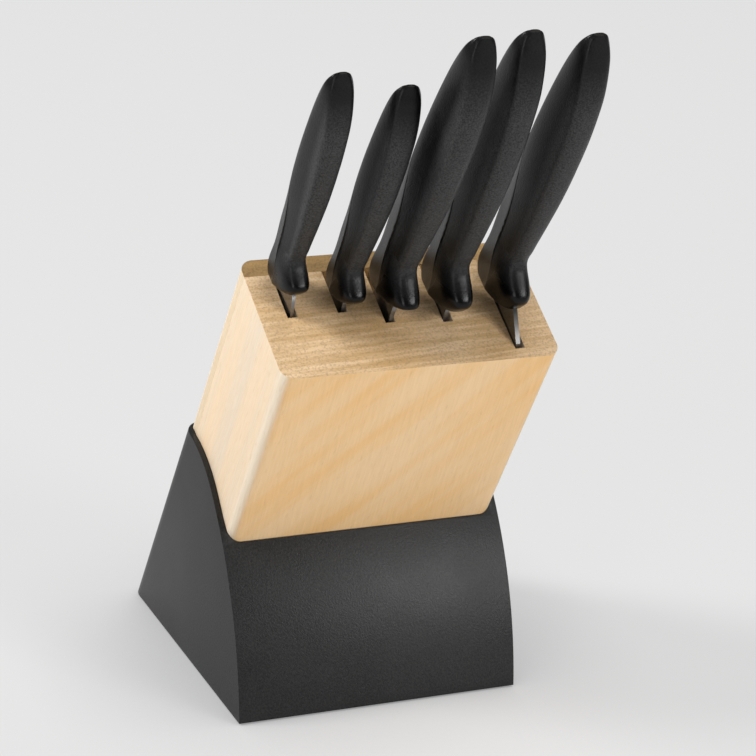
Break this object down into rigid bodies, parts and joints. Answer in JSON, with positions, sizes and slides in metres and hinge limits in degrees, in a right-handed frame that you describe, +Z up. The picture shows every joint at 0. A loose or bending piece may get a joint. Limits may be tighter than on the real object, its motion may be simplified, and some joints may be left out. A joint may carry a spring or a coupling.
{
  "type": "knife block with knives",
  "caption": "Countertop knife block: a slotted wooden block leans in a dark moulded base, with kitchen knives that lift out along their slots.",
  "frame": {"origin": "on the table, under the middle of the whole object's box, which is 34.7 mm behind the front edge of the base", "axes": "+Z up, +X to the right of someone facing the block's front, +Y towards the back; the block and the knives lean forward, to -Y"},
  "size_m": [0.12, 0.2052, 0.2915],
  "materials": {
    "base_plastic": "fine-grained matte",
    "foot_rubber": "matte",
    "screw_steel": "zinc plated",
    "board_wood": "pale birch, satin lacquer",
    "blade_steel": "fine lengthwise polish",
    "core_plastic": "satin gloss",
    "grip_plastic": "fine-grained soft touch"
  },
  "bodies": {
    "block": {"base_shell": "base_plastic", "base_plate": "base_plastic", "foot_front_left": "foot_rubber", "foot_front_right": "foot_rubber", "foot_back_left": "foot_rubber", "foot_back_right": "foot_rubber", "plate_screws": "screw_steel", "block_screws": "screw_steel", "main_board": "board_wood", "back_board": "board_wood"},
    "paring_knife": {"paring_blade": "blade_steel", "paring_core": "core_plastic", "paring_grip": "grip_plastic"},
    "utility_knife": {"utility_blade": "blade_steel", "utility_core": "core_plastic", "utility_grip": "grip_plastic"},
    "bread_knife": {"bread_blade": "blade_steel", "bread_core": "core_plastic", "bread_grip": "grip_plastic"},
    "carving_knife": {"carving_blade": "blade_steel", "carving_core": "core_plastic", "carving_grip": "grip_plastic"},
    "chef_knife": {"chef_blade": "blade_steel", "chef_core": "core_plastic", "chef_grip": "grip_plastic"}
  },
  "joints": [
    {"name": "paring_lift", "type": "slide", "parent": "block", "child": "paring_knife", "axis": [-0.014, -0.4663, 0.8845], "range_m": [0, 0.105]},
    {"name": "utility_lift", "type": "slide", "parent": "block", "child": "utility_knife", "axis": [0.0087, -0.4741, 0.8804], "range_m": [0, 0.143]},
    {"name": "bread_lift", "type": "slide", "parent": "block", "child": "bread_knife", "axis": [0.0052, -0.503, 0.8643], "range_m": [0, 0.193]},
    {"name": "carving_lift", "type": "slide", "parent": "block", "child": "carving_knife", "axis": [-0.007, -0.4771, 0.8788], "range_m": [0, 0.193]},
    {"name": "chef_lift", "type": "slide", "parent": "block", "child": "chef_knife", "axis": [-0.007, -0.5015, 0.8651], "range_m": [0, 0.187]}
  ]
}
